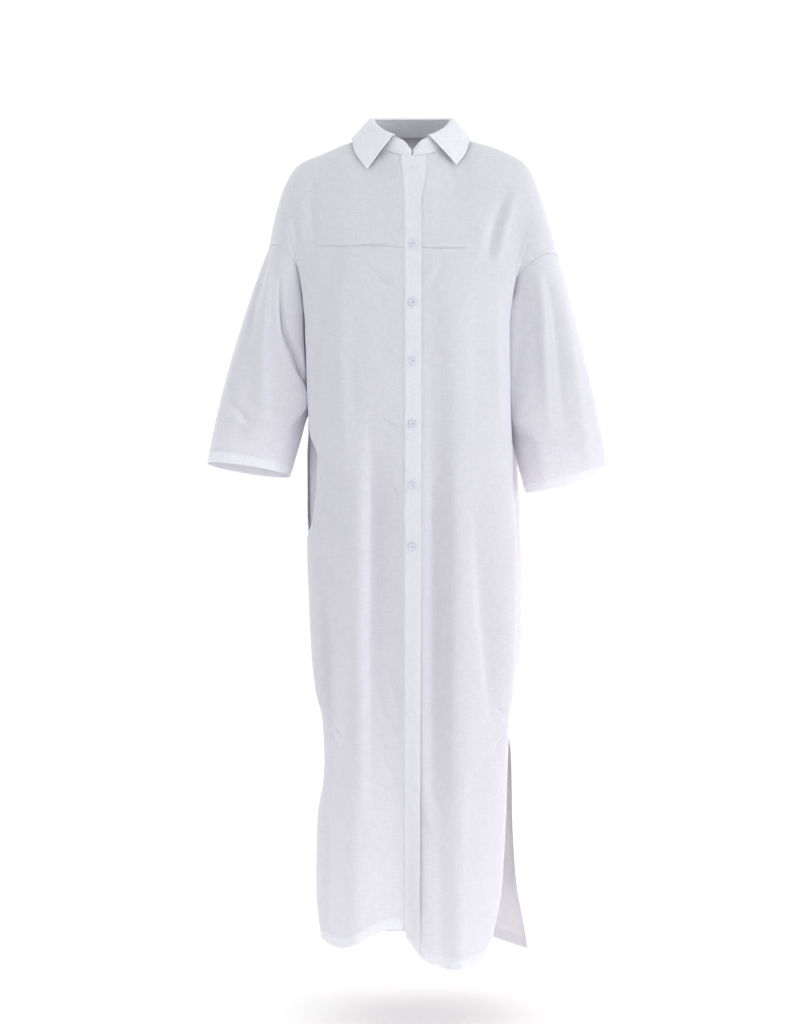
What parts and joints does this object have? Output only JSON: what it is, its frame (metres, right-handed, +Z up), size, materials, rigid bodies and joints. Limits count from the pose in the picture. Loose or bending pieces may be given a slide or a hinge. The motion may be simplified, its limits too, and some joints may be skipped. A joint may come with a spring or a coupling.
{
  "type": "button-front maxi shirt dress",
  "caption": "Long button-front shirt dress with a collar on a stand, dropped shoulders, wide three-quarter sleeves, side slits and a side-seam pocket, in its worn hollow form.",
  "frame": {"origin": "middle of the base of the neck, level with the points where the shoulder line meets the neck, where the wearer's shoulders hold the dress up", "axes": "+Z up, -Y out of the front, +X to the wearer's left"},
  "size_m": [0.6571, 0.2648, 1.3953],
  "materials": {
    "cotton": "plain-woven white cotton, matt, slightly translucent",
    "doubled_cotton": "the same cotton in two layers with interfacing, pressed and edge-stitched",
    "button_resin": "moulded white resin, polished"
  },
  "bodies": {
    "root": {"front_right": "cotton", "front_left": "cotton", "back": "cotton", "sleeve_right": "cotton", "sleeve_left": "cotton", "pocket_bag_right": "cotton", "placket_right": "doubled_cotton", "placket_left": "doubled_cotton", "collar_stand": "doubled_cotton", "collar_leaf": "doubled_cotton", "button_1": "button_resin", "button_2": "button_resin", "button_3": "button_resin", "button_4": "button_resin", "button_5": "button_resin", "button_6": "button_resin"}
  },
  "joints": []
}
